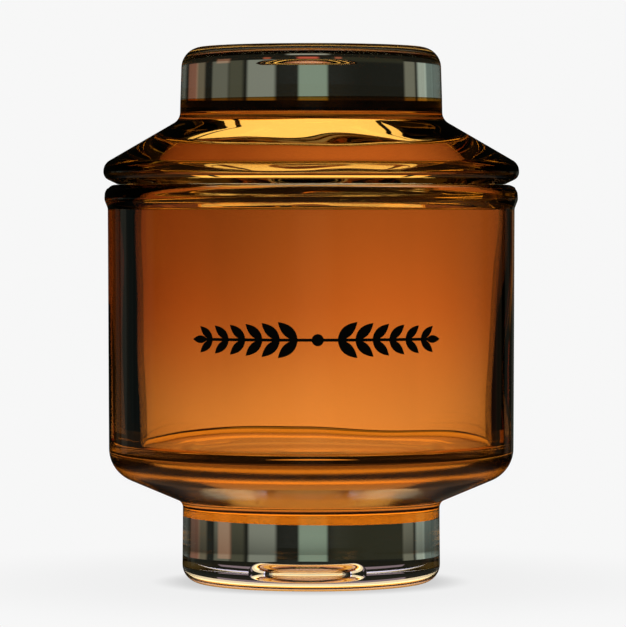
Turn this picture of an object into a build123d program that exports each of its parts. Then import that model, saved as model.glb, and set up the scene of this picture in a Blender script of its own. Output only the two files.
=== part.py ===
from build123d import *
import os

# Lidded candle jar of heavy glass: amber bowl on a clear foot, amber lid with a clear knob.
# Millimetres, +Z up, origin at the middle of the surface that the foot stands on, front at -Y.

# Heights above the table
FOOT_TOP = 15.9           # the clear foot ends and the amber bowl begins
WAIST_TOP = 19.4          # the neck turns out into the shoulder
WALL_FOOT = 26.95         # corner of shoulder and wall before it is rounded
CAVITY_FLOOR = 32.8
WALL_TOP = 90.0
BEAD_MIDDLE = 92.1        # fullest part of the rim bead
RIM_TOP = 95.7
LID_UNDERSIDE = 95.8      # rests on the rim, 0.1 mm apart
LID_EDGE_BOTTOM = 97.45   # corners of the lid's edge before they are rounded
LID_EDGE_TOP = 100.7
NECK_BOTTOM = 111.4       # the dome's cone turns up into the knob
DOME_TOP = 116.2          # the amber dome ends and the clear knob begins
KNOB_TOP = 128.8

# Radii
FOOT_R = 31.1
WAIST_R = 30.95           # foot and bowl meet here
BOWL_R = 48.7
WALL_TOP_R = 48.95        # just under the rim bead
BEAD_R = 49.76
RIM_TOP_R = 49.6
CAVITY_FLOOR_R = 42.2
MOUTH_R = 44.3
LID_UNDERSIDE_R = 46.6
LID_R = 50.0
NECK_R = 31.6             # foot of the knob's side
KNOB_FOOT_R = 31.5        # dome and knob meet here

# Roundings
WAIST_ROUND = 2.2
SHOULDER_ROUND = 8.0
WALL_TOP_ROUND = 2.0
BEAD_ROUND = 2.2
RIM_ROUND = 2.6
MOUTH_ROUND = 2.0
CAVITY_ROUND = 1.2
FOOT_ROUND = 4.3          # outer edge of the foot
KNOB_ROUND = 5.0          # outer edge of the knob
NECK_ROUND = 3.0
LID_EDGE_TOP_ROUND = 3.0
LID_EDGE_BOTTOM_ROUND = 2.1
UNDERSIDE_ROUND = 0.4

# Round dimple in the middle of the foot's underside and of the knob's top
DIMPLE_R = 9.8
DIMPLE_DEPTH = 5.2
DIMPLE_CORNER_R = 9.1     # corner of the dimple's bottom before it is rounded
DIMPLE_ROUND = 2.4
DIMPLE_EDGE = 0.2

# Plug under the lid, with the groove that holds the seal
PLUG_R = 42.9
PLUG_TOP_ROUND = 0.3      # where the plug leaves the underside
PLUG_INNER_R = 38.0
PLUG_BOTTOM = 92.3
GROOVE_R = 41.6
GROOVE_BOTTOM = 93.1
GROOVE_TOP = 95.1
GROOVE_LIP_ROUND = 0.2
PLUG_TIP_ROUND = 0.5
PLUG_INNER_ROUND = 1.2
DISH_R = 33.0
DISH_EDGE = 100.0
DISH_TOP = 101.0
DISH_ROUND = 2.5
SEAL_GAP = 0.1            # running clearance of the seal in its groove
SEAL_BODY_R = 42.8
SEAL_LIP_R = 43.7
SEAL_LIP = 0.6            # thickness of each of the two lips
SEAL_LIP_ROUND = 0.25
SEAL_CORNER = 0.1

# Printed sprig on the front of the bowl
INK = 0.06
PRINT_X = 1.5
PRINT_Z = 59.8
STEM_HALF = 27.5
STEM_WIDTH = 0.7
LEAF_PAIRS = 6
LEAF_FIRST = 4.6          # first leaf pair, from the middle of the sprig
LEAF_PITCH = 4.1
LEAF_LENGTH = 6.2
LEAF_WIDTH = 2.5
LEAF_TAPER = 0.94         # each pair is this much smaller than the one before
LEAF_ANGLE = 42.0
TIP_LENGTH = 4.0          # leaf at each end of the stem
TIP_WIDTH = 1.8
TIP_OVERLAP = 1.0
BERRY_R = 1.4
PRINT_HALF_HEIGHT = 8.0   # band of wall that the sprig lies within


def turned(*corners):
    """Turn an outline about Z. Each corner is (radius, height, rounding); the ends lie on the axis."""
    points = [(r, z) for r, z, _ in corners]
    rounding = [corner[2] for corner in corners[1:-1]]
    with BuildPart() as body:
        with BuildSketch(Plane.XZ):
            with BuildLine():
                FilletPolyline(*points, radius=rounding)
                Line(points[-1], points[0])
            make_face()
        revolve(axis=Axis.Z)
    return body.part


def turned_ring(*corners):
    """Turn a closed outline that stays clear of the axis."""
    with BuildPart() as body:
        with BuildSketch(Plane.XZ):
            with BuildLine():
                FilletPolyline(*[(r, z) for r, z, _ in corners],
                               radius=[corner[2] for corner in corners], close=True)
            make_face()
        revolve(axis=Axis.Z)
    return body.part


def jar_foot():
    """Solid clear foot with a dimple underneath."""
    return turned((0, DIMPLE_DEPTH, 0),
                  (DIMPLE_CORNER_R, DIMPLE_DEPTH, DIMPLE_ROUND),
                  (DIMPLE_R, 0, DIMPLE_EDGE),
                  (FOOT_R, 0, FOOT_ROUND),
                  (WAIST_R, FOOT_TOP, 0),
                  (0, FOOT_TOP, 0))


def jar_bowl():
    """Amber bowl: waist, shoulder, wall and rim bead outside, tapered cavity inside."""
    return turned((0, FOOT_TOP, 0),
                  (WAIST_R, FOOT_TOP, 0),
                  (WAIST_R, WAIST_TOP, WAIST_ROUND),
                  (BOWL_R, WALL_FOOT, SHOULDER_ROUND),
                  (WALL_TOP_R, WALL_TOP, WALL_TOP_ROUND),
                  (BEAD_R, BEAD_MIDDLE, BEAD_ROUND),
                  (RIM_TOP_R, RIM_TOP, RIM_ROUND),
                  (MOUTH_R, RIM_TOP, MOUTH_ROUND),
                  (CAVITY_FLOOR_R, CAVITY_FLOOR, CAVITY_ROUND),
                  (0, CAVITY_FLOOR, 0))


def lid_dome():
    """Amber dome: cone and rounded edge outside, grooved plug ring and shallow dish underneath."""
    return turned((0, DOME_TOP, 0),
                  (KNOB_FOOT_R, DOME_TOP, 0),
                  (NECK_R, NECK_BOTTOM, NECK_ROUND),
                  (LID_R, LID_EDGE_TOP, LID_EDGE_TOP_ROUND),
                  (LID_R, LID_EDGE_BOTTOM, LID_EDGE_BOTTOM_ROUND),
                  (LID_UNDERSIDE_R, LID_UNDERSIDE, UNDERSIDE_ROUND),
                  (PLUG_R, LID_UNDERSIDE, PLUG_TOP_ROUND),
                  (PLUG_R, GROOVE_TOP, GROOVE_LIP_ROUND),
                  (GROOVE_R, GROOVE_TOP, 0),
                  (GROOVE_R, GROOVE_BOTTOM, 0),
                  (PLUG_R, GROOVE_BOTTOM, GROOVE_LIP_ROUND),
                  (PLUG_R, PLUG_BOTTOM, PLUG_TIP_ROUND),
                  (PLUG_INNER_R, PLUG_BOTTOM, PLUG_INNER_ROUND),
                  (DISH_R, DISH_EDGE, DISH_ROUND),
                  (0, DISH_TOP, 0))


def lid_knob():
    """Solid clear knob, nearly the foot's shape upside down."""
    return turned((0, DOME_TOP, 0),
                  (KNOB_FOOT_R, DOME_TOP, 0),
                  (FOOT_R, KNOB_TOP, KNOB_ROUND),
                  (DIMPLE_R, KNOB_TOP, DIMPLE_EDGE),
                  (DIMPLE_CORNER_R, KNOB_TOP - DIMPLE_DEPTH, DIMPLE_ROUND),
                  (0, KNOB_TOP - DIMPLE_DEPTH, 0))


def seal_ring():
    """Clear silicone ring in the plug's groove, with two lips that brush the mouth of the jar."""
    inner = GROOVE_R + SEAL_GAP
    bottom = GROOVE_BOTTOM + SEAL_GAP
    top = GROOVE_TOP - SEAL_GAP
    return turned_ring((inner, bottom, SEAL_CORNER),
                       (SEAL_LIP_R, bottom, SEAL_LIP_ROUND),
                       (SEAL_LIP_R, bottom + SEAL_LIP, SEAL_LIP_ROUND),
                       (SEAL_BODY_R, bottom + SEAL_LIP, SEAL_CORNER),
                       (SEAL_BODY_R, top - SEAL_LIP, SEAL_CORNER),
                       (SEAL_LIP_R, top - SEAL_LIP, SEAL_LIP_ROUND),
                       (SEAL_LIP_R, top, SEAL_LIP_ROUND),
                       (inner, top, SEAL_CORNER))


def wall_radius(height):
    """Outer radius of the straight part of the bowl's wall."""
    return BOWL_R + (WALL_TOP_R - BOWL_R) * (height - WALL_FOOT) / (WALL_TOP - WALL_FOOT)


def leaf(length, width):
    """Pointed leaf that lies along +X from the origin."""
    with BuildSketch() as outline:
        with BuildLine():
            ThreePointArc((0, 0), (length * 0.45, width / 2), (length, 0))
            ThreePointArc((length, 0), (length * 0.45, -width / 2), (0, 0))
        make_face()
    return outline.sketch


def sprig():
    """Stem with paired leaves that point outwards, and a berry in the middle."""
    shape = Rectangle(2 * STEM_HALF, STEM_WIDTH) + Circle(BERRY_R)
    for side in (0, 180):
        for pair in range(LEAF_PAIRS):
            size = LEAF_TAPER ** pair
            blade = leaf(LEAF_LENGTH * size, LEAF_WIDTH * size)
            root = LEAF_FIRST + pair * LEAF_PITCH
            for lean in (LEAF_ANGLE, -LEAF_ANGLE):
                shape += Rot(0, 0, side) * Pos(root, 0) * Rot(0, 0, lean) * blade
        shape += Rot(0, 0, side) * Pos(STEM_HALF - TIP_OVERLAP, 0) * leaf(TIP_LENGTH, TIP_WIDTH)
    return shape


def front_print():
    """Film of ink in the shape of the sprig, on the front of the bowl's wall."""
    low = PRINT_Z - PRINT_HALF_HEIGHT
    high = PRINT_Z + PRINT_HALF_HEIGHT
    film = turned_ring((wall_radius(low), low, 0), (wall_radius(low) + INK, low, 0),
                       (wall_radius(high) + INK, high, 0), (wall_radius(high), high, 0))
    flat = Plane.XZ * Pos(PRINT_X, PRINT_Z) * sprig()
    return extrude(flat, amount=LID_R) & film


NODES = {
    "jar_foot": jar_foot,
    "jar_bowl": jar_bowl,
    "front_print": front_print,
    "seal_ring": seal_ring,
    "lid_dome": lid_dome,
    "lid_knob": lid_knob,
}

os.makedirs("parts", exist_ok=True)
for name, make in NODES.items():
    node = make()
    node.label = name
    export_step(node, f"parts/{name}.step")
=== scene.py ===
import math

import bmesh
import bpy
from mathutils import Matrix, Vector, noise


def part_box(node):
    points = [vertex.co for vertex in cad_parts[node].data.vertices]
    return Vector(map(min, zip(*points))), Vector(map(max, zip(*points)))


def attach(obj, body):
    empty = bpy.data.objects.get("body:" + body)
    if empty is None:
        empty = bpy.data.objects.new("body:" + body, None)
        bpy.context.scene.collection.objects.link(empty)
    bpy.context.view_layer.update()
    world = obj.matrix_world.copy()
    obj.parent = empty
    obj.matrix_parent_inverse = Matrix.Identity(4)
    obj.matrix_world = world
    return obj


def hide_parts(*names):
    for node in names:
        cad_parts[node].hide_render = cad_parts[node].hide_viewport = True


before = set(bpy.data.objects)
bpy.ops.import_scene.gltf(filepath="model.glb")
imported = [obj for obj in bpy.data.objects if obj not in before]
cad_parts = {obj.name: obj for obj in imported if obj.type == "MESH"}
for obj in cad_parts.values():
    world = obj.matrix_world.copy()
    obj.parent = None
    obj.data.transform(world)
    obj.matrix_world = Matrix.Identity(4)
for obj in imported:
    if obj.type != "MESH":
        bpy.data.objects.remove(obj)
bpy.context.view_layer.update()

# Lidded candle jar: amber glass bowl on a clear foot, amber glass lid with a clear knob.
# Lengths are metres. Outlines are written in millimetres and turned into metres when they are built.

MM = 0.001
SEGMENTS = 240

# Heights from the frame, in millimetres
FOOT_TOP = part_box("jar_foot")[1].z / MM
RIM_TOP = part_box("jar_bowl")[1].z / MM
DOME_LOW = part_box("lid_dome")[0].z / MM
DOME_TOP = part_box("lid_dome")[1].z / MM
KNOB_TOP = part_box("lid_knob")[1].z / MM
LID_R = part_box("lid_dome")[1].x / MM
SEAL_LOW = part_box("seal_ring")[0].z / MM
SEAL_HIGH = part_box("seal_ring")[1].z / MM
SEAL_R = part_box("seal_ring")[1].x / MM

# Heights inside the pieces, in millimetres
LID_GAP = 0.1             # between the rim and the lid that rests on it
UNDERSIDE = RIM_TOP + LID_GAP
DIMPLE_DEPTH = 5.2
WAIST_TOP = 19.4
WALL_FOOT = 26.95
CAVITY_FLOOR = 32.8
WALL_TOP = 90.0
BEAD_MIDDLE = 92.1
GROOVE_BOTTOM = 93.1
GROOVE_TOP = 95.1
LID_EDGE_BOTTOM = 97.45
DISH_EDGE = 100.0
LID_EDGE_TOP = 100.7
DISH_TOP = 101.0
NECK_BOTTOM = 111.4

# Radii, in millimetres
DIMPLE_CORNER_R = 9.1
DIMPLE_R = 9.8
WAIST_R = 30.95
FOOT_R = 31.1
NECK_TOP_R = 31.5
NECK_R = 31.6
DISH_R = 33.0
PLUG_INNER_R = 38.0
GROOVE_R = 41.6
CAVITY_FLOOR_R = 42.2
PLUG_R = 42.9
MOUTH_R = 44.3
LID_UNDERSIDE_R = 46.6
BOWL_R = 48.7
WALL_TOP_R = 48.95
RIM_TOP_R = 49.6
BEAD_R = 49.76

# Parts of an outline, which become material slots
OUTSIDE, INSIDE, JOINT, SHOULDER, FLOOR, DIMPLE = 0, 1, 2, 3, 4, 5


# ---------------------------------------------------------------- outlines and turned glass

def rounded(corners, arc_steps=12):
    """Points along an outline of (radius, height, rounding, part) corners, with an arc at each rounding."""
    points = [(corners[0][0], corners[0][1], corners[0][3])]
    for before, corner, after in zip(corners, corners[1:], corners[2:]):
        r, z, rounding, part = corner
        here = Vector((r, z))
        if rounding == 0:
            points.append((r, z, part))
            continue
        back = (Vector(before[:2]) - here).normalized()
        on = (Vector(after[:2]) - here).normalized()
        half = back.angle(on) / 2
        centre = here + (back + on).normalized() * (rounding / math.sin(half))
        start = here + back * (rounding / math.tan(half)) - centre
        end = here + on * (rounding / math.tan(half)) - centre
        first = math.atan2(start.y, start.x)
        turn = (math.atan2(end.y, end.x) - first + math.pi) % (2 * math.pi) - math.pi
        for step in range(arc_steps + 1):
            angle = first + turn * step / arc_steps
            which = before[3] if step < arc_steps / 2 else part
            points.append((centre.x + rounding * math.cos(angle),
                           centre.y + rounding * math.sin(angle), which))
    last = corners[-1]
    points.append((last[0], last[1], last[3]))
    return points


def spaced(points, step=1.2):
    """The same outline with extra points along its long straight stretches."""
    dense = [points[0]]
    for (r0, z0, part), (r1, z1, next_part) in zip(points, points[1:]):
        count = max(1, math.ceil(math.hypot(r1 - r0, z1 - z0) / step))
        for k in range(1, count + 1):
            t = k / count
            dense.append((r0 + (r1 - r0) * t, z0 + (z1 - z0) * t, next_part if k == count else part))
    return dense


def link(name, mesh):
    obj = bpy.data.objects.new(name, mesh)
    bpy.context.scene.collection.objects.link(obj)
    return obj


SHARP = math.radians(40)  # folds sharper than this stay crisp


def turned(name, corners, materials, shape=None, closed=False):
    """Turns an outline about Z. shape moves a point by hand-made unevenness, in millimetres."""
    points = spaced(rounded(corners))
    verts, rings, faces, parts = [], [], [], []
    for r, z, part in points:
        ring = []
        for k in range(1 if r < 1e-6 else SEGMENTS):
            angle = 2 * math.pi * k / SEGMENTS
            spot = Vector((r * math.cos(angle), r * math.sin(angle), z))
            if shape:
                spot = shape(spot, part)
            ring.append(len(verts))
            verts.append(spot * MM)
        rings.append(ring)
    pairs = list(zip(rings, rings[1:], points))
    if closed:
        pairs.append((rings[-1], rings[0], points[-1]))
    for low, high, (_, _, part) in pairs:
        for k in range(SEGMENTS):
            m = (k + 1) % SEGMENTS
            if len(low) == 1 and len(high) == 1:
                break
            if len(low) == 1:
                faces.append((low[0], high[k], high[m]))
            elif len(high) == 1:
                faces.append((low[k], high[0], low[m]))
            else:
                faces.append((low[k], high[k], high[m], low[m]))
            parts.append(part)
    mesh = bpy.data.meshes.new(name)
    mesh.from_pydata(verts, [], faces)
    for polygon, part in zip(mesh.polygons, parts):
        polygon.material_index = 0 if part == DIMPLE else part
        polygon.use_smooth = True
    for material in materials:
        mesh.materials.append(material)
    bm = bmesh.new()
    bm.from_mesh(mesh)
    bmesh.ops.recalc_face_normals(bm, faces=bm.faces)
    bm.to_mesh(mesh)
    bm.free()
    mesh.set_sharp_from_angle(angle=SHARP)
    return link(name, mesh)


# ---------------------------------------------------------------- hand-made unevenness

def sway(spot, seed, size, depth):
    """Smooth wander of a point along its own radius; size and depth of the waves in millimetres."""
    push = noise.noise(Vector((spot.x, spot.y, spot.z)) / size + Vector((seed, seed * 1.7, 0))) * depth
    out = Vector((spot.x, spot.y, 0))
    if out.length < 1e-6:
        return Vector((0, 0, 0))
    return out.normalized() * push


TINT_REACH = 3            # how far from the tint line its tilt is felt


def tint_line(spot, level, slope):
    """Tilts the line where tinted and clear glass meet, so that it isn't quite level."""
    near = max(0.0, 1 - abs(spot.z - level) / TINT_REACH)
    return Vector((0, 0, -slope * spot.x * near))


CAVITY_SHIFT = 0.9        # the cavity sits this far to the right of the outside
SHIFT_FROM = 4            # depth below the rim at which the whole shift is reached
DIMPLE_SHIFT = -0.6
DISH_WAVE = 0.5           # depth and size of the waves under the lid
DISH_WAVE_SIZE = 16
DISH_RISE = 6             # height over which those waves grow


def jar_shape(spot, part):
    """Unevenness of the bowl and foot: shifted cavity and dimple, wavy walls, tilted tint line."""
    moved = spot.copy()
    if part in (INSIDE, FLOOR):
        inward = min(1.0, max(0.0, (RIM_TOP - spot.z) / SHIFT_FROM))
        moved.x += CAVITY_SHIFT * inward
        moved += sway(spot, seed=3.1, size=26, depth=0.35 * inward)
    elif part == DIMPLE:
        moved.x += DIMPLE_SHIFT
    else:
        moved += sway(spot, seed=9.4, size=40, depth=0.03)
        moved += tint_line(spot, level=FOOT_TOP, slope=0.008)
    return moved


def lid_shape(spot, part):
    """Unevenness of the dome and knob: wavy underside, shifted dimple, tilted tint line."""
    moved = spot.copy()
    if part == INSIDE:
        wave = noise.noise(Vector((spot.x, spot.y, 3)) / DISH_WAVE_SIZE)
        moved.z += wave * DISH_WAVE * max(0, (spot.z - UNDERSIDE) / DISH_RISE)
    elif part == DIMPLE:
        moved.x += DIMPLE_SHIFT
    else:
        moved += sway(spot, seed=5.2, size=30, depth=0.04)
        moved += tint_line(spot, level=DOME_TOP, slope=-0.006)
    return moved


# ---------------------------------------------------------------- materials

def material(name):
    """New material, with its nodes and links."""
    made = bpy.data.materials.new(name)
    made.use_nodes = True
    return made, made.node_tree.nodes, made.node_tree.links


GLASS_IOR = 1.52
SEAM_STEP = 1.006         # ratio of the two glasses' refraction
AMBER_TINT = (0.80, 0.26, 0.018)
CLEAR_TINT = (0.955, 0.975, 0.945)
INNER_TINT = (0.985, 0.98, 0.96)


def glass(name, tint, roughness=0.0):
    """Glass whose colour sits in its skin, polished unless it is given some roughness."""
    made, nodes, _ = material(name)
    shader = nodes["Principled BSDF"]
    shader.inputs["Base Color"].default_value = (*tint, 1)
    shader.inputs["Transmission Weight"].default_value = 1
    shader.inputs["Roughness"].default_value = roughness
    shader.inputs["IOR"].default_value = GLASS_IOR
    return made


def seam():
    """Where clear and tinted glass are joined: light passes straight on unless it grazes the seam."""
    made, nodes, links = material("glass_seam")
    nodes.remove(nodes["Principled BSDF"])
    through = nodes.new("ShaderNodeBsdfTransparent")
    mirror = nodes.new("ShaderNodeBsdfGlossy")
    mirror.inputs["Roughness"].default_value = 0
    step = nodes.new("ShaderNodeFresnel")
    step.inputs["IOR"].default_value = SEAM_STEP
    choice = nodes.new("ShaderNodeMixShader")
    links.new(step.outputs[0], choice.inputs[0])
    links.new(through.outputs[0], choice.inputs[1])
    links.new(mirror.outputs[0], choice.inputs[2])
    links.new(choice.outputs[0], nodes["Material Output"].inputs["Surface"])
    return made


AMBER = glass("amber_glass", AMBER_TINT)
AMBER_SATIN = glass("amber_satin_glass", AMBER_TINT, roughness=0.13)
CLEAR = glass("clear_glass", CLEAR_TINT)
CLEAR_IN_AMBER = glass("clear_inner_glass", INNER_TINT)
FLOOR_GLASS = glass("clear_floor_glass", INNER_TINT, roughness=0.10)
SEAM = seam()


# ---------------------------------------------------------------- glass pieces
# Each outline corner is radius, height, rounding, and the part that starts there.

def jar_bowl():
    return turned("bowl_glass", [
        (0, FOOT_TOP, 0, JOINT),
        (WAIST_R, FOOT_TOP, 0, OUTSIDE),
        (WAIST_R, WAIST_TOP, 2.2, SHOULDER),
        (BOWL_R, WALL_FOOT, 8.0, OUTSIDE),
        (WALL_TOP_R, WALL_TOP, 2.0, OUTSIDE),
        (BEAD_R, BEAD_MIDDLE, 2.2, OUTSIDE),
        (RIM_TOP_R, RIM_TOP, 2.6, INSIDE),
        (MOUTH_R, RIM_TOP, 2.0, INSIDE),
        (CAVITY_FLOOR_R, CAVITY_FLOOR, 1.2, FLOOR),
        (0, CAVITY_FLOOR, 0, FLOOR),
    ], [AMBER, CLEAR_IN_AMBER, SEAM, AMBER_SATIN, FLOOR_GLASS], jar_shape)


def jar_foot():
    return turned("foot_glass", [
        (0, DIMPLE_DEPTH, 0, DIMPLE),
        (DIMPLE_CORNER_R, DIMPLE_DEPTH, 2.4, DIMPLE),
        (DIMPLE_R, 0, 0.2, OUTSIDE),
        (FOOT_R, 0, 4.3, OUTSIDE),
        (WAIST_R, FOOT_TOP, 0, JOINT),
        (0, FOOT_TOP, 0, JOINT),
    ], [CLEAR, CLEAR, SEAM], jar_shape)


def lid_dome():
    return turned("dome_glass", [
        (0, DOME_TOP, 0, JOINT),
        (NECK_TOP_R, DOME_TOP, 0, OUTSIDE),
        (NECK_R, NECK_BOTTOM, 3.0, OUTSIDE),
        (LID_R, LID_EDGE_TOP, 3.0, OUTSIDE),
        (LID_R, LID_EDGE_BOTTOM, 2.1, OUTSIDE),
        (LID_UNDERSIDE_R, UNDERSIDE, 0.4, INSIDE),
        (PLUG_R, UNDERSIDE, 0.3, INSIDE),
        (PLUG_R, GROOVE_TOP, 0.2, INSIDE),
        (GROOVE_R, GROOVE_TOP, 0, INSIDE),
        (GROOVE_R, GROOVE_BOTTOM, 0, INSIDE),
        (PLUG_R, GROOVE_BOTTOM, 0.2, INSIDE),
        (PLUG_R, DOME_LOW, 0.5, INSIDE),
        (PLUG_INNER_R, DOME_LOW, 1.2, INSIDE),
        (DISH_R, DISH_EDGE, 2.5, INSIDE),
        (0, DISH_TOP, 0, INSIDE),
    ], [AMBER, CLEAR_IN_AMBER, SEAM], lid_shape)


def lid_knob():
    return turned("knob_glass", [
        (0, DOME_TOP, 0, JOINT),
        (NECK_TOP_R, DOME_TOP, 0, OUTSIDE),
        (FOOT_R, KNOB_TOP, 5.0, OUTSIDE),
        (DIMPLE_R, KNOB_TOP, 0.2, DIMPLE),
        (DIMPLE_CORNER_R, KNOB_TOP - DIMPLE_DEPTH, 2.4, DIMPLE),
        (0, KNOB_TOP - DIMPLE_DEPTH, 0, DIMPLE),
    ], [CLEAR, CLEAR, SEAM], lid_shape)


bowl = jar_bowl()
foot = jar_foot()
dome = lid_dome()
knob = lid_knob()
for piece, body, node, slot in ((bowl, "jar", "jar_bowl", "amber_glass"),
                                (foot, "jar", "jar_foot", "clear_glass"),
                                (dome, "lid", "lid_dome", "amber_glass"),
                                (knob, "lid", "lid_knob", "clear_glass")):
    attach(piece, body)
    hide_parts(node)


# ---------------------------------------------------------------- seal ring and printed sprig

def silicone():
    """Cloudy clear rubber."""
    made, nodes, _ = material("clear_silicone")
    shader = nodes["Principled BSDF"]
    shader.inputs["Base Color"].default_value = (0.86, 0.87, 0.84, 1)
    shader.inputs["Transmission Weight"].default_value = 0.85
    shader.inputs["Roughness"].default_value = 0.35
    shader.inputs["IOR"].default_value = 1.41
    return made


def seal_ring():
    """Ring with two lips, turned as a closed outline that starts part way along its underside."""
    inner = 41.7
    body_r = 42.8
    lip = 0.6
    soft = 0.25
    crisp = 0.1
    corners = [
        (inner + 0.4, SEAL_LOW, 0),
        (SEAL_R, SEAL_LOW, soft),
        (SEAL_R, SEAL_LOW + lip, soft),
        (body_r, SEAL_LOW + lip, crisp),
        (body_r, SEAL_HIGH - lip, crisp),
        (SEAL_R, SEAL_HIGH - lip, soft),
        (SEAL_R, SEAL_HIGH, soft),
        (inner, SEAL_HIGH, crisp),
        (inner, SEAL_LOW, crisp),
    ]
    outline = [(*corner, OUTSIDE) for corner in corners]
    return turned("seal_ring_soft", outline, [silicone()], closed=True)


def ink():
    """Flat screen-printed ink, a little uneven in its sheen."""
    made, nodes, links = material("print_ink")
    shader = nodes["Principled BSDF"]
    shader.inputs["Base Color"].default_value = (0.012, 0.012, 0.009, 1)
    grain = nodes.new("ShaderNodeTexNoise")
    grain.inputs["Scale"].default_value = 900
    rough = nodes.new("ShaderNodeMapRange")
    rough.inputs["To Min"].default_value = 0.45
    rough.inputs["To Max"].default_value = 0.65
    coordinates = nodes.new("ShaderNodeTexCoord")
    links.new(coordinates.outputs["Object"], grain.inputs["Vector"])
    links.new(grain.outputs["Fac"], rough.inputs["Value"])
    links.new(rough.outputs["Result"], shader.inputs["Roughness"])
    return made


# Printed sprig, in millimetres: middle of the print, stem, paired leaves, end leaf, berry and film of ink
PRINT_X = 1.5
PRINT_Z = 59.8
STEM_HALF = 27.5
STEM_WIDTH = 0.7
LEAF_PAIRS = 6
LEAF_FIRST = 4.6
LEAF_PITCH = 4.1
LEAF_LENGTH = 6.2
LEAF_WIDTH = 2.5
LEAF_TAPER = 0.94
LEAF_ANGLE = math.radians(42)
TIP_LENGTH = 4.0
TIP_WIDTH = 1.8
TIP_OVERLAP = 1
BERRY_R = 1.4
INK_LOW = 0.02
INK_HIGH = 0.06


def wall_radius(z):
    """Outer radius of the straight part of the bowl's wall."""
    return BOWL_R + (WALL_TOP_R - BOWL_R) * (z - WALL_FOOT) / (WALL_TOP - WALL_FOOT)


def blade(root, angle, length, width):
    """The two edges of a pointed leaf, in the plane of the print; it is fullest nearer its root."""
    steps = 14
    ways = []
    for side in (1, -1):
        way = []
        for k in range(steps + 1):
            t = k / steps
            across = side * width * 2 * t * (1 - t) * (1.12 - 0.24 * t)
            along = length * t
            way.append((root[0] + along * math.cos(angle) - across * math.sin(angle),
                        root[1] + along * math.sin(angle) + across * math.cos(angle)))
        ways.append(way)
    return ways


def sprig_shapes():
    """Pairs of facing edges, each pair the two sides of one leaf, stem or berry."""
    shapes = []
    for side in (1, -1):
        for pair in range(LEAF_PAIRS):
            size = LEAF_TAPER ** pair
            for lean in (1, -1):
                angle = lean * LEAF_ANGLE if side == 1 else math.pi - lean * LEAF_ANGLE
                root = (side * (LEAF_FIRST + pair * LEAF_PITCH), 0)
                shapes.append(blade(root, angle, LEAF_LENGTH * size, LEAF_WIDTH * size))
        tip = 0 if side == 1 else math.pi
        shapes.append(blade((side * (STEM_HALF - TIP_OVERLAP), 0), tip, TIP_LENGTH, TIP_WIDTH))
    along = [k * STEM_HALF / 24 for k in range(-24, 25)]
    turns = [math.pi * k / 14 for k in range(15)]
    stem = [[(x, side * STEM_WIDTH / 2) for x in along] for side in (1, -1)]
    berry = [[(BERRY_R * math.cos(turn), side * BERRY_R * math.sin(turn)) for turn in turns]
             for side in (1, -1)]
    return shapes + [stem, berry]


def front_print():
    """Wraps each flat shape on the wall as a closed film of ink."""
    bm = bmesh.new()
    for above, below in sprig_shapes():
        rows = []
        for (ax, az), (bx, bz) in zip(above, below):
            row = []
            for lift in (INK_LOW, INK_HIGH):
                for t in (0, 0.5, 1):
                    x = ax + (bx - ax) * t + PRINT_X
                    z = az + (bz - az) * t + PRINT_Z
                    r = wall_radius(z) + lift
                    row.append(bm.verts.new(Vector((r * math.sin(x / r), -r * math.cos(x / r), z)) * MM))
            rows.append(row)
        for one, two in zip(rows, rows[1:]):
            for a, b in ((0, 1), (1, 2), (5, 4), (4, 3), (2, 5), (3, 0)):
                bm.faces.new((one[a], one[b], two[b], two[a]))
        for end in (rows[0], rows[-1]):
            bm.faces.new((end[0], end[1], end[4], end[3]))
            bm.faces.new((end[1], end[2], end[5], end[4]))
    bmesh.ops.remove_doubles(bm, verts=bm.verts, dist=1e-7)
    bmesh.ops.dissolve_degenerate(bm, edges=bm.edges, dist=1e-8)
    bmesh.ops.recalc_face_normals(bm, faces=bm.faces)
    mesh = bpy.data.meshes.new("sprig_print")
    bm.to_mesh(mesh)
    bm.free()
    mesh.materials.append(ink())
    return link("sprig_print", mesh)


seal = seal_ring()
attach(seal, "seal")
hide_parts("seal_ring")
sprig = front_print()
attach(sprig, "jar")
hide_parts("front_print")


# ---------------------------------------------------------------- shader arithmetic

class Graph:
    """Short calls for building node arithmetic."""

    def __init__(self, tree):
        self.nodes = tree.nodes
        self.links = tree.links

    def add(self, kind, **settings):
        node = self.nodes.new(kind)
        for key, value in settings.items():
            setattr(node, key, value)
        return node

    def put(self, value, socket):
        if isinstance(value, (int, float)):
            socket.default_value = value
        else:
            self.links.new(value, socket)

    def maths(self, operation, first, second=None, third=None):
        node = self.add("ShaderNodeMath", operation=operation)
        for value, socket in zip((first, second, third), node.inputs):
            if value is not None:
                self.put(value, socket)
        return node.outputs[0]

    def ramp(self, value, start, end, low=0.0, high=1.0):
        """Smooth change from low to high as value goes from start to end."""
        node = self.add("ShaderNodeMapRange", interpolation_type="SMOOTHSTEP")
        self.put(value, node.inputs["Value"])
        for key, number in (("From Min", start), ("From Max", end), ("To Min", low), ("To Max", high)):
            node.inputs[key].default_value = number
        return node.outputs["Result"]

    def colour(self, rgb):
        node = self.add("ShaderNodeRGB")
        node.outputs[0].default_value = (*rgb, 1)
        return node.outputs[0]

    def blend(self, factor, first, second):
        """Mix of two colours; its sockets are numbered because every data type has its own A and B."""
        node = self.add("ShaderNodeMix", data_type="RGBA")
        self.put(factor, node.inputs[0])
        self.links.new(first, node.inputs[6])
        self.links.new(second, node.inputs[7])
        return node.outputs[2]

    def scale(self, colour, factor):
        node = self.add("ShaderNodeVectorMath", operation="SCALE")
        self.links.new(colour, node.inputs[0])
        self.put(factor, node.inputs["Scale"])
        return node.outputs[0]

    def plus(self, first, second):
        node = self.add("ShaderNodeVectorMath", operation="ADD")
        self.links.new(first, node.inputs[0])
        self.links.new(second, node.inputs[1])
        return node.outputs[0]


# ---------------------------------------------------------------- room, floor and lights

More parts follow.
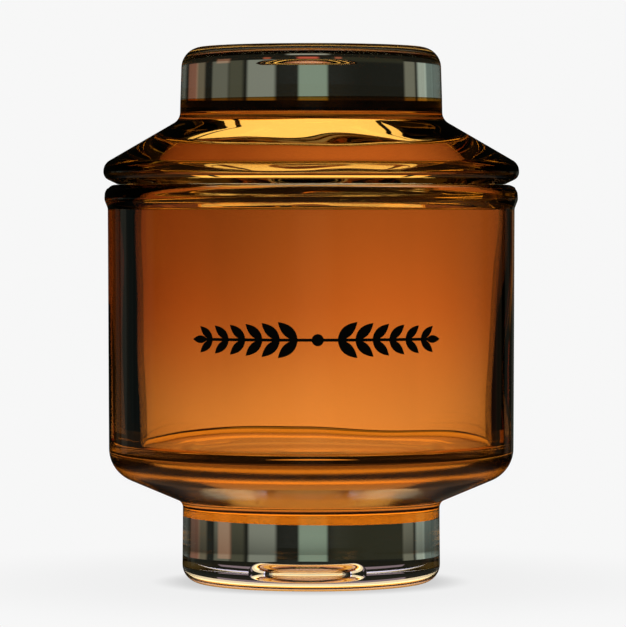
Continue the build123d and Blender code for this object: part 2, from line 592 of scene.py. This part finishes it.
PALE = 0.93

# The far room, seen only through the glass and in it. Each row is a soft-edged panel:
# azimuth from +Y towards +X, elevation, half width, half height, softness (degrees), colour, strength
ROOM = [
    (-0.5, -2.4, 4.2, 2.9, 0.6, (0.78, 1.00, 0.74), 0.25),
    (15.5, -2.4, 4.8, 2.9, 0.8, (0.96, 1.00, 0.80), 0.20),
    (25, -2.4, 3, 2.9, 1.0, (1.00, 0.96, 0.60), 0.055),
    (33, -2.4, 4.5, 2.9, 1.0, (1.00, 0.98, 0.72), 0.11),
    (47, -2.4, 4, 2.9, 1.5, (1.00, 0.80, 0.50), 0.13),
    (56, -2.4, 6, 2.9, 2.0, (1.00, 0.40, 0.24), 0.22),
    (-37.5, -2.4, 3.5, 2.9, 1.0, (1.00, 0.97, 0.70), 0.15),
    (-47, -2.4, 4.0, 2.9, 1.5, (0.90, 1.00, 0.82), 0.38),
    (-55, -2.4, 5.0, 2.9, 1.5, (0.78, 1.00, 0.87), 0.19),
    (-70, -2.4, 10, 2.9, 3.0, (0.80, 1.00, 0.88), 0.20),
    (78, -2.4, 10, 2.9, 4.0, (0.95, 1.00, 0.85), 0.12),
    # low things on the far side of the table, and a small one in front of them
    (-20, -6, 14, 3, 2.0, (1.00, 0.95, 0.45), 0.015),
    (31.5, -6, 3.5, 3, 1.0, (1.00, 0.45, 0.25), 0.20),
    (1, -7.5, 3, 1.5, 0.8, (1.00, 0.16, 0.08), 0.50),
    (13.5, -7.5, 1.2, 1.5, 0.5, (1.00, 0.22, 0.10), 0.30),
    (-8, -7.5, 1.0, 1.5, 0.5, (1.00, 0.22, 0.10), 0.30),
    (1, -18, 6, 6, 1.5, (1.00, 0.95, 0.75), 0.30),
    # table near the jar
    (0, -38, 120, 12, 4.0, (1.00, 0.50, 0.20), 0.50),
    (0, -68, 175, 20, 5.0, (1.00, 0.84, 0.66), 0.30),
    # dim walls to the sides, and a brighter one in front
    (-125, 8, 42, 30, 10.0, (0.95, 1.00, 0.92), 0.06),
    (125, 8, 42, 30, 10.0, (0.95, 1.00, 0.92), 0.06),
    (180, 8, 10, 30, 5.0, (0.95, 1.00, 0.92), 0.20),
]
ROOM_SHADE = (0.010, 0.010, 0.007)
MIRRORED = 0.25        # share of the room's light that the outside of the glass reflects
TABLE_MIRRORED = 0.05  # pale table top, as the outside of the glass reflects it
TABLE_STARTS = math.radians(-14)
TABLE_FULL = math.radians(-30)


def room_light(graph, azimuth, elevation):
    """Sum of the room's panels in one direction. Upper and lower edges are half as soft as the sides."""
    total = graph.colour(ROOM_SHADE)
    for *degrees, rgb, strength in ROOM:
        turn, height, half_width, half_height, soft = map(math.radians, degrees)
        away = graph.maths("WRAP", graph.maths("SUBTRACT", azimuth, turn), math.pi, -math.pi)
        away = graph.maths("ABSOLUTE", away)
        up = graph.maths("ABSOLUTE", graph.maths("SUBTRACT", elevation, height))
        across = graph.ramp(away, half_width - soft, half_width + soft, strength, 0)
        along = graph.ramp(up, half_height - soft / 2, half_height + soft / 2, 1, 0)
        total = graph.plus(total, graph.scale(graph.colour(rgb), graph.maths("MULTIPLY", across, along)))
    return total


def make_world():
    """Plain pale backdrop for the camera, and the room for light that has met the glass."""
    world = bpy.data.worlds.new("room")
    bpy.context.scene.world = world
    world.cycles.sampling_method = "NONE"
    world.use_nodes = True
    world.node_tree.nodes.clear()
    graph = Graph(world.node_tree)
    spot = graph.add("ShaderNodeTexCoord")
    parts = graph.add("ShaderNodeSeparateXYZ")
    graph.links.new(spot.outputs["Generated"], parts.inputs[0])
    azimuth = graph.maths("ARCTAN2", parts.outputs["X"], parts.outputs["Y"])
    elevation = graph.maths("ARCSINE", parts.outputs["Z"])
    ray = graph.add("ShaderNodeLightPath")
    room = graph.add("ShaderNodeBackground")
    graph.links.new(room_light(graph, azimuth, elevation), room.inputs["Color"])
    graph.links.new(graph.maths("MULTIPLY_ADD", ray.outputs["Is Transmission Ray"], 1 - MIRRORED, MIRRORED),
                    room.inputs["Strength"])
    table = graph.add("ShaderNodeBackground")
    graph.links.new(graph.ramp(elevation, TABLE_STARTS, TABLE_FULL, 0, TABLE_MIRRORED),
                    table.inputs["Strength"])
    mirrored = graph.add("ShaderNodeAddShader")
    graph.links.new(room.outputs[0], mirrored.inputs[0])
    graph.links.new(table.outputs[0], mirrored.inputs[1])
    seen = graph.add("ShaderNodeMixShader")
    graph.links.new(ray.outputs["Is Transmission Ray"], seen.inputs[0])
    graph.links.new(mirrored.outputs[0], seen.inputs[1])
    graph.links.new(room.outputs[0], seen.inputs[2])
    plain = graph.add("ShaderNodeBackground")
    plain.inputs["Color"].default_value = (PALE, PALE, PALE, 1)
    choice = graph.add("ShaderNodeMixShader")
    output = graph.add("ShaderNodeOutputWorld")
    graph.links.new(ray.outputs["Is Camera Ray"], choice.inputs[0])
    graph.links.new(seen.outputs[0], choice.inputs[1])
    graph.links.new(plain.outputs[0], choice.inputs[2])
    graph.links.new(choice.outputs[0], output.inputs[0])


# Painted shadow on the floor round the jar's axis: radii (metres) where it starts to fade and ends, share
# of light
PAINTED_CONTACT_SHADOW = (0.028, 0.040, 0.72)
PAINTED_SOFT_SHADOW = (0.035, 0.12, 0.93)


def floor_material():
    """Plain pale floor with a soft painted shadow under the jar."""
    made, nodes, links = material("pale_floor")
    nodes.remove(nodes["Principled BSDF"])
    graph = Graph(made.node_tree)
    where = graph.add("ShaderNodeTexCoord")
    flat = graph.add("ShaderNodeVectorMath", operation="LENGTH")
    links.new(where.outputs["Object"], flat.inputs[0])
    radius = flat.outputs["Value"]
    # painted shadow: the floor's own light is dimmed near the jar's axis, it is not cast by the jar
    painted_contact = graph.ramp(radius, *PAINTED_CONTACT_SHADOW, 1)
    shadow = graph.ramp(radius, *PAINTED_SOFT_SHADOW, 1)
    seen = graph.add("ShaderNodeEmission")
    links.new(graph.scale(graph.colour((PALE, PALE, PALE)), graph.maths("MULTIPLY", painted_contact, shadow)),
              seen.inputs["Color"])
    side = graph.add("ShaderNodeNewGeometry")
    clear = graph.add("ShaderNodeBsdfTransparent")
    under = graph.add("ShaderNodeMixShader")
    links.new(side.outputs["Backfacing"], under.inputs[0])
    links.new(seen.outputs[0], under.inputs[1])
    links.new(clear.outputs[0], under.inputs[2])
    links.new(under.outputs[0], nodes["Material Output"].inputs["Surface"])
    made.cycles.emission_sampling = "NONE"
    return made


def make_floor():
    """Round floor that only the camera sees, so that the glass shows the room instead."""
    bm = bmesh.new()
    bmesh.ops.create_circle(bm, cap_ends=True, segments=96, radius=3.0)
    mesh = bpy.data.meshes.new("floor")
    bm.to_mesh(mesh)
    bm.free()
    mesh.materials.append(floor_material())
    floor = link("floor", mesh)
    floor.visible_transmission = False
    floor.visible_glossy = False
    floor.visible_diffuse = False


def one_sided(made, glow, strength=None):
    """Ends a card's material: light on its front face, nothing on its back; strength fades it out."""
    made.cycles.emission_sampling = "NONE"
    nodes, links = made.node_tree.nodes, made.node_tree.links
    clear = nodes.new("ShaderNodeBsdfTransparent")
    side = nodes.new("ShaderNodeNewGeometry")
    if strength is not None:
        faded = nodes.new("ShaderNodeMixShader")
        links.new(strength, faded.inputs[0])
        links.new(clear.outputs[0], faded.inputs[1])
        links.new(glow, faded.inputs[2])
        glow = faded.outputs[0]
    choice = nodes.new("ShaderNodeMixShader")
    links.new(side.outputs["Backfacing"], choice.inputs[0])
    links.new(glow, choice.inputs[1])
    links.new(clear.outputs[0], choice.inputs[2])
    links.new(choice.outputs[0], nodes["Material Output"].inputs["Surface"])


def soft_light(name, width, height, soft, rgb, strength):
    """Even light that fades to nothing within soft millimetres of the card's edges."""
    made, nodes, links = material(name)
    nodes.remove(nodes["Principled BSDF"])
    graph = Graph(made.node_tree)
    where = graph.add("ShaderNodeTexCoord")
    parts = graph.add("ShaderNodeSeparateXYZ")
    links.new(where.outputs["UV"], parts.inputs[0])
    edge = 1.0
    for along, size in ((parts.outputs["X"], width), (parts.outputs["Y"], height)):
        near = graph.ramp(along, 0, soft)
        far = graph.ramp(along, size, size - soft)
        edge = graph.maths("MULTIPLY", graph.maths("MULTIPLY", near, far), edge)
    glow = graph.add("ShaderNodeEmission")
    glow.inputs["Color"].default_value = (*rgb, 1)
    glow.inputs["Strength"].default_value = strength
    one_sided(made, glow.outputs[0], edge)
    return made


def hide_and_stage(obj):
    """A light card is seen only through the glass, never by the camera or as a reflection."""
    obj.visible_camera = False
    obj.visible_glossy = False


def card(name, path, low, high, finish):
    """Upright strip along a path of (x, y), from low to high, in millimetres. The camera doesn't see it."""
    verts, faces, marks = [], [], []
    run = 0
    for k, (x, y) in enumerate(path):
        if k:
            run += math.dist(path[k - 1], path[k])
            faces.append((2 * k - 2, 2 * k, 2 * k + 1, 2 * k - 1))
        for z in (low, high):
            verts.append((x * MM, y * MM, z * MM))
            marks.append((run, z - low))
    mesh = bpy.data.meshes.new(name)
    mesh.from_pydata(verts, [], faces)
    layer = mesh.uv_layers.new(name="size")
    for loop in mesh.loops:
        layer.data[loop.index].uv = marks[loop.vertex_index]
    mesh.materials.append(finish)
    hide_and_stage(link(name, mesh))


def arc(radius, low, high, steps=64):
    """Path round the jar's axis, from azimuth low to high; degrees from +Y towards +X."""
    turns = [math.radians(low + (high - low) * k / steps) for k in range(steps + 1)]
    return [(radius * math.sin(turn), radius * math.cos(turn)) for turn in turns]


# Warm card that curves close round the back of the bowl, to light the amber glass
GLOW_R = 50.5
GLOW_SPAN = 79
GLOW_LOW = 33.0
GLOW_HIGH = 91.3

# Soft pools of light on it: azimuth (degrees), height (mm), reach across (degrees), reach up (mm), strength
POOLS = [
    (0, 20, 76, 35, 0.98),
    (22, 76, 52, 42, 0.32),
    (30, 62, 34, 22, 0.12),
    (-42, 62, 20, 24, 0.06),
]
GLOW_BASE = 0.20

# Its colour, which goes round from one side to the other above and is even below
UPPER_LEFT = (1.0, 0.46, 0.50)
UPPER_RIGHT = (1.0, 0.62, 0.95)
LOWER = (1.0, 0.92, 1.9)
LEFT_ENDS = math.radians(-70)
RIGHT_STARTS = math.radians(-5)
UPPER_ENDS = 0.068        # heights, in metres
LOWER_STARTS = 0.034


def glow_finish():
    """Light of the warm card: pools on a dim base, redder above and on the left."""
    made, nodes, links = material("glow_card")
    nodes.remove(nodes["Principled BSDF"])
    graph = Graph(made.node_tree)
    where = graph.add("ShaderNodeTexCoord")
    parts = graph.add("ShaderNodeSeparateXYZ")
    links.new(where.outputs["Object"], parts.inputs[0])
    turn = graph.maths("ARCTAN2", parts.outputs["X"], parts.outputs["Y"])
    height = parts.outputs["Z"]
    level = GLOW_BASE
    for azimuth, middle, across, up, strength in POOLS:
        a = graph.maths("SUBTRACT", turn, math.radians(azimuth))
        a = graph.maths("DIVIDE", a, math.radians(across))
        b = graph.maths("DIVIDE", graph.maths("SUBTRACT", height, middle * MM), up * MM)
        spread = graph.maths("MULTIPLY_ADD", a, a, graph.maths("MULTIPLY", b, b))
        pool = graph.maths("EXPONENT", graph.maths("MULTIPLY", spread, -1.0))
        level = graph.maths("MULTIPLY_ADD", pool, strength, level)
    upper = graph.blend(graph.ramp(turn, LEFT_ENDS, RIGHT_STARTS), graph.colour(UPPER_LEFT),
                        graph.colour(UPPER_RIGHT))
    warm = graph.blend(graph.ramp(height, UPPER_ENDS, LOWER_STARTS), upper, graph.colour(LOWER))
    glow = graph.add("ShaderNodeEmission")
    links.new(graph.scale(warm, level), glow.inputs["Color"])
    one_sided(made, glow.outputs[0])
    return made


# Window high behind the jar, in three panes: middle and half width of each, in millimetres
BEHIND = 120
PANES = ((-68, 21), (0, 41.5), (68, 21))
SILL = 140
LINTEL = 235
WINDOW_LIGHT = ((1.00, 0.90, 0.60), 1.6)

# Dim rosy light straight behind the bowl's base: heights of its two cards
BASES = ((20, 36), (46, 76))
BASE_HALF = 60
BASE_LIGHT = ((1.00, 0.72, 0.80), 0.25)

# Collars under the shoulder, which light the waist: radius and top of each
COLLARS = ((33.2, 20.2), (36.5, 21.2))
COLLAR_LOW = 16.2
COLLAR_SPAN = 62
COLLAR_LIGHT = ((1.00, 0.75, 0.40), 1.8)

# Ledge that lies just below the cavity's floor, and the apron that hangs from it close to the bowl
LEDGE = 29.8
LEDGE_NEAR = 50.7
LEDGE_FAR = 85
LEDGE_LIGHT = ((1.00, 0.92, 1.20), 1.1)
APRON_R = 51.5
APRON_LOW = 15.5
APRON_LIGHT = ((1.00, 0.78, 0.50), 1.0)

# Black cards close behind the glass: radius, then azimuths (degrees), then heights (mm)
SHADES = [
    (51.5, 84, 114, 36, 93),
    (51.5, -114, -84, 36, 93),
    (34.0, -82, 82, 110.9, 115.9),
    (51.6, -84, 84, 95.2, 98.4),
]


def flat_light(name, finish_name, middle, half, low, high, soft, light):
    """Softly edged light on a flat card BEHIND the jar; light is a colour and a strength."""
    sides = [(middle - half, BEHIND), (middle + half, BEHIND)]
    card(name, sides, low, high, soft_light(finish_name, 2 * half, high - low, soft, *light))


def curved_light(name, finish_name, radius, left, right, low, high, soft, light):
    """Softly edged light on a card that follows the jar, from azimuth left to right."""
    width = math.radians(right - left) * radius
    card(name, arc(radius, left, right), low, high,
         soft_light(finish_name, width, high - low, soft, *light))


def make_cards():
    card("glow_card", arc(GLOW_R, -GLOW_SPAN, GLOW_SPAN), GLOW_LOW, GLOW_HIGH, glow_finish())
    for number, (middle, half) in enumerate(PANES):
        flat_light(f"window_pane_{number}", f"window_light_{number}", middle, half, SILL, LINTEL, 2,
                   WINDOW_LIGHT)
    for number, (radius, top) in enumerate(COLLARS):
        curved_light(f"collar_{number}_card", f"collar_light_{number}", radius, -COLLAR_SPAN,
                     COLLAR_SPAN, COLLAR_LOW, top, 0.3, COLLAR_LIGHT)
    for number, (low, high) in enumerate(BASES):
        flat_light(f"base_{number}_card", f"base_light_{number}", 0, BASE_HALF, low, high, 3,
                   BASE_LIGHT)
    curved_light("apron_card", "apron_light", APRON_R, -GLOW_SPAN, GLOW_SPAN, APRON_LOW, LEDGE, 0.1,
                 APRON_LIGHT)
    for number, (radius, left, right, low, high) in enumerate(SHADES):
        curved_light(f"shade_{number}_card", f"shade_{number}", radius, left, right, low, high, 0.2,
                     ((0, 0, 0), 0.0))
    ledge()


def ledge():
    """Sheet that lies just below the cavity's floor behind the bowl and lights it from there."""
    verts, faces = [], []
    inner_edge = arc(LEDGE_NEAR, -GLOW_SPAN, GLOW_SPAN)
    outer_edge = arc(LEDGE_FAR, -GLOW_SPAN, GLOW_SPAN)
    for k, (inner, outer) in enumerate(zip(inner_edge, outer_edge)):
        for x, y in (inner, outer):
            verts.append((x * MM, y * MM, LEDGE * MM))
        if k:
            faces.append((2 * k - 2, 2 * k - 1, 2 * k + 1, 2 * k))
    mesh = bpy.data.meshes.new("ledge")
    mesh.from_pydata(verts, [], faces)
    made, nodes, _ = material("ledge_light")
    nodes.remove(nodes["Principled BSDF"])
    glow = nodes.new("ShaderNodeEmission")
    rgb, strength = LEDGE_LIGHT
    glow.inputs["Color"].default_value = (*rgb, 1)
    glow.inputs["Strength"].default_value = strength
    one_sided(made, glow.outputs[0])
    mesh.materials.append(made)
    hide_and_stage(link("ledge_card", mesh))


make_world()
make_floor()
make_cards()


# ---------------------------------------------------------------- camera

# Distance in front of the jar's axis, height and aim in metres; lens and sensor width in millimetres
DISTANCE = 1.012
EYE = 0.0901
AIM = (0.00043, 0, 0.0647)
LENS = 241.15
SENSOR = 36
camera_data = bpy.data.cameras.new("camera")
camera = bpy.data.objects.new("camera", camera_data)
bpy.context.scene.collection.objects.link(camera)
camera_data.sensor_width = SENSOR
camera_data.lens = LENS
camera_data.clip_start = 0.01
camera.location = (0, -DISTANCE, EYE)
camera.rotation_euler = (Vector(AIM) - camera.location).to_track_quat("-Z", "Y").to_euler()
bpy.context.scene.camera = camera
bpy.context.scene.view_settings.view_transform = "Standard"
